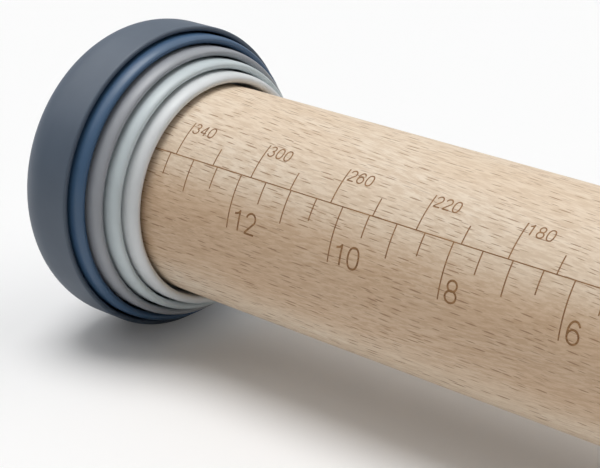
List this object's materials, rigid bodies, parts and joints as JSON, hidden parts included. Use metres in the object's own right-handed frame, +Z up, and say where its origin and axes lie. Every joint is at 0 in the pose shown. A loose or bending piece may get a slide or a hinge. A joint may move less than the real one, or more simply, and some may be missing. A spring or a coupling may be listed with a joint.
{
  "type": "adjustable rolling pin",
  "caption": "Wooden rolling pin whose ends hold nested spacer discs that set the dough's thickness, each stack clamped by a screw knob; a width scale runs along the roller.",
  "frame": {"origin": "on the surface it stands on, below the middle of the roller", "axes": "+X along the roller's axis, +Z up, +Y away from the side that shows the scale"},
  "size_m": [0.4188, 0.0626, 0.0626],
  "materials": {
    "beech": "smooth sanded beech, oiled, pale tan with fine dark flecks and a burnt scale",
    "off_white_plastic": "satin moulded plastic",
    "mint_plastic": "satin moulded plastic",
    "grey_plastic": "satin moulded plastic",
    "blue_plastic": "satin moulded plastic",
    "slate_plastic": "matte moulded plastic",
    "nylon": "plain moulded nylon",
    "plated_steel": "bright zinc plate",
    "brass": "turned brass"
  },
  "bodies": {
    "root": {"roller_body": "beech", "left_threaded_insert": "brass", "right_threaded_insert": "brass"},
    "left_disc_1": {"left_disc_1": "off_white_plastic"},
    "left_disc_2": {"left_disc_2": "mint_plastic"},
    "left_disc_3": {"left_disc_3": "grey_plastic"},
    "left_disc_4": {"left_disc_4": "blue_plastic"},
    "left_disc_5": {"left_disc_5": "slate_plastic"},
    "left_thrust_washer": {"left_thrust_washer": "nylon"},
    "left_knob": {"left_knob": "slate_plastic", "left_knob_stud": "plated_steel", "left_knob_cap": "slate_plastic"},
    "right_disc_1": {"right_disc_1": "off_white_plastic"},
    "right_disc_2": {"right_disc_2": "mint_plastic"},
    "right_disc_3": {"right_disc_3": "grey_plastic"},
    "right_disc_4": {"right_disc_4": "blue_plastic"},
    "right_disc_5": {"right_disc_5": "slate_plastic"},
    "right_thrust_washer": {"right_thrust_washer": "nylon"},
    "right_knob": {"right_knob": "slate_plastic", "right_knob_stud": "plated_steel", "right_knob_cap": "slate_plastic"}
  },
  "joints": [
    {"name": "left_disc_1_slide", "type": "slide", "parent": "root", "child": "left_disc_1", "axis": [-1, 0, 0], "range_m": [0, 0.014]},
    {"name": "left_disc_2_slide", "type": "slide", "parent": "left_disc_1", "child": "left_disc_2", "axis": [-1, 0, 0], "range_m": [0, 0.014]},
    {"name": "left_disc_3_slide", "type": "slide", "parent": "left_disc_2", "child": "left_disc_3", "axis": [-1, 0, 0], "range_m": [0, 0.014]},
    {"name": "left_disc_4_slide", "type": "slide", "parent": "left_disc_3", "child": "left_disc_4", "axis": [-1, 0, 0], "range_m": [0, 0.014]},
    {"name": "left_disc_5_slide", "type": "slide", "parent": "left_disc_4", "child": "left_disc_5", "axis": [-1, 0, 0], "range_m": [0, 0.014]},
    {"name": "left_knob_travel", "type": "slide", "parent": "left_disc_5", "child": "left_thrust_washer", "axis": [-1, 0, 0], "range_m": [0, 0.024]},
    {"name": "left_knob_turn", "type": "hinge", "parent": "left_thrust_washer", "child": "left_knob", "pos_m": [-0.2045, 0, 0.0313], "axis": [-1, 0, 0], "range_deg": [0, 2160]},
    {"name": "right_disc_1_slide", "type": "slide", "parent": "root", "child": "right_disc_1", "axis": [1, 0, 0], "range_m": [0, 0.014]},
    {"name": "right_disc_2_slide", "type": "slide", "parent": "right_disc_1", "child": "right_disc_2", "axis": [1, 0, 0], "range_m": [0, 0.014]},
    {"name": "right_disc_3_slide", "type": "slide", "parent": "right_disc_2", "child": "right_disc_3", "axis": [1, 0, 0], "range_m": [0, 0.014]},
    {"name": "right_disc_4_slide", "type": "slide", "parent": "right_disc_3", "child": "right_disc_4", "axis": [1, 0, 0], "range_m": [0, 0.014]},
    {"name": "right_disc_5_slide", "type": "slide", "parent": "right_disc_4", "child": "right_disc_5", "axis": [1, 0, 0], "range_m": [0, 0.014]},
    {"name": "right_knob_travel", "type": "slide", "parent": "right_disc_5", "child": "right_thrust_washer", "axis": [1, 0, 0], "range_m": [0, 0.024]},
    {"name": "right_knob_turn", "type": "hinge", "parent": "right_thrust_washer", "child": "right_knob", "pos_m": [0.2045, 0, 0.0313], "axis": [1, 0, 0], "range_deg": [0, 2160]}
  ],
  "couplings": [
    {"joint": "left_knob_travel", "follows": "left_knob_turn", "m_per_rad": 0.00063662},
    {"joint": "right_knob_travel", "follows": "right_knob_turn", "m_per_rad": 0.00063662}
  ]
}
